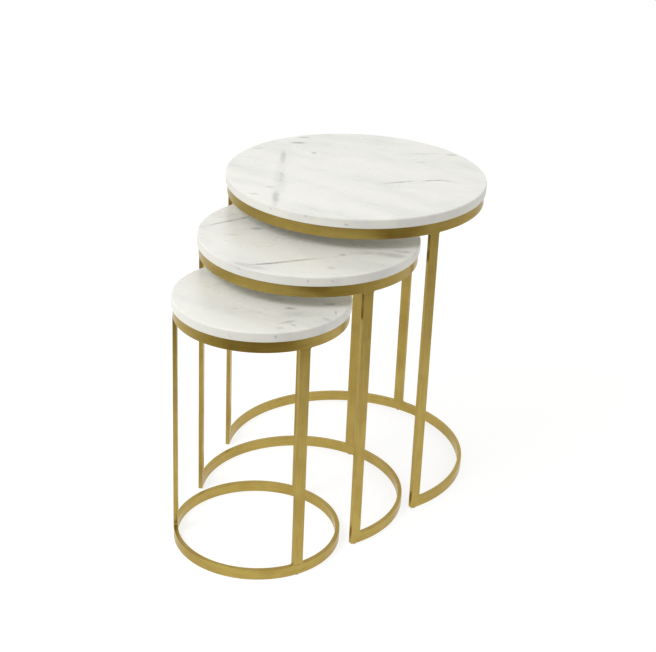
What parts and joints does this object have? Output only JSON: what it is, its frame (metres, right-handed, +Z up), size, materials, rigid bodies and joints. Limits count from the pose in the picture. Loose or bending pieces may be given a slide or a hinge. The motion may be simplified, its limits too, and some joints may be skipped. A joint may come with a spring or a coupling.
{
  "type": "nesting tables",
  "caption": "Round nesting tables with white marble tops on flat-bar brass frames; each smaller table slides in between the open front legs of the next larger one.",
  "frame": {"origin": "on the floor, at the centre of the bounding box of the set as it stands partly drawn out", "axes": "+Z up; -Y is the front, the way the smaller tables slide out; +X is to the right when facing the back, +Y, from the front"},
  "size_m": [0.5, 0.7619, 0.62],
  "materials": {
    "marble": "satin",
    "brushed_brass": "satin",
    "pad_rubber": "matte",
    "zinc_steel": "satin",
    "glide_nylon": "matte"
  },
  "bodies": {
    "large_table": {"large_marble_top": "marble", "large_top_ring": "brushed_brass", "large_base_arc": "brushed_brass", "large_leg_left": "brushed_brass", "large_glide_left": "glide_nylon", "large_leg_right": "brushed_brass", "large_glide_right": "glide_nylon", "large_leg_back": "brushed_brass", "large_glide_back": "glide_nylon", "large_tab_front": "brushed_brass", "large_pad_front": "pad_rubber", "large_screw_front": "zinc_steel", "large_tab_left": "brushed_brass", "large_pad_left": "pad_rubber", "large_screw_left": "zinc_steel", "large_tab_right": "brushed_brass", "large_pad_right": "pad_rubber", "large_screw_right": "zinc_steel"},
    "middle_table": {"middle_marble_top": "marble", "middle_top_ring": "brushed_brass", "middle_base_arc": "brushed_brass", "middle_leg_left": "brushed_brass", "middle_glide_left": "glide_nylon", "middle_leg_right": "brushed_brass", "middle_glide_right": "glide_nylon", "middle_leg_back": "brushed_brass", "middle_glide_back": "glide_nylon", "middle_tab_front": "brushed_brass", "middle_pad_front": "pad_rubber", "middle_screw_front": "zinc_steel", "middle_tab_left": "brushed_brass", "middle_pad_left": "pad_rubber", "middle_screw_left": "zinc_steel", "middle_tab_right": "brushed_brass", "middle_pad_right": "pad_rubber", "middle_screw_right": "zinc_steel"},
    "small_table": {"small_marble_top": "marble", "small_top_ring": "brushed_brass", "small_base_ring": "brushed_brass", "small_leg_left": "brushed_brass", "small_glide_left": "glide_nylon", "small_leg_right": "brushed_brass", "small_glide_right": "glide_nylon", "small_leg_back": "brushed_brass", "small_glide_back": "glide_nylon", "small_tab_front": "brushed_brass", "small_pad_front": "pad_rubber", "small_screw_front": "zinc_steel", "small_tab_left": "brushed_brass", "small_pad_left": "pad_rubber", "small_screw_left": "zinc_steel", "small_tab_right": "brushed_brass", "small_pad_right": "pad_rubber", "small_screw_right": "zinc_steel"}
  },
  "joints": [
    {"name": "middle_slide", "type": "slide", "parent": "large_table", "child": "middle_table", "axis": [0.0637, -0.998, 0], "range_m": [-0.2214, 0.327]},
    {"name": "small_slide", "type": "slide", "parent": "middle_table", "child": "small_table", "axis": [0.0366, -0.9993, 0], "range_m": [-0.1971, 0.261]}
  ]
}
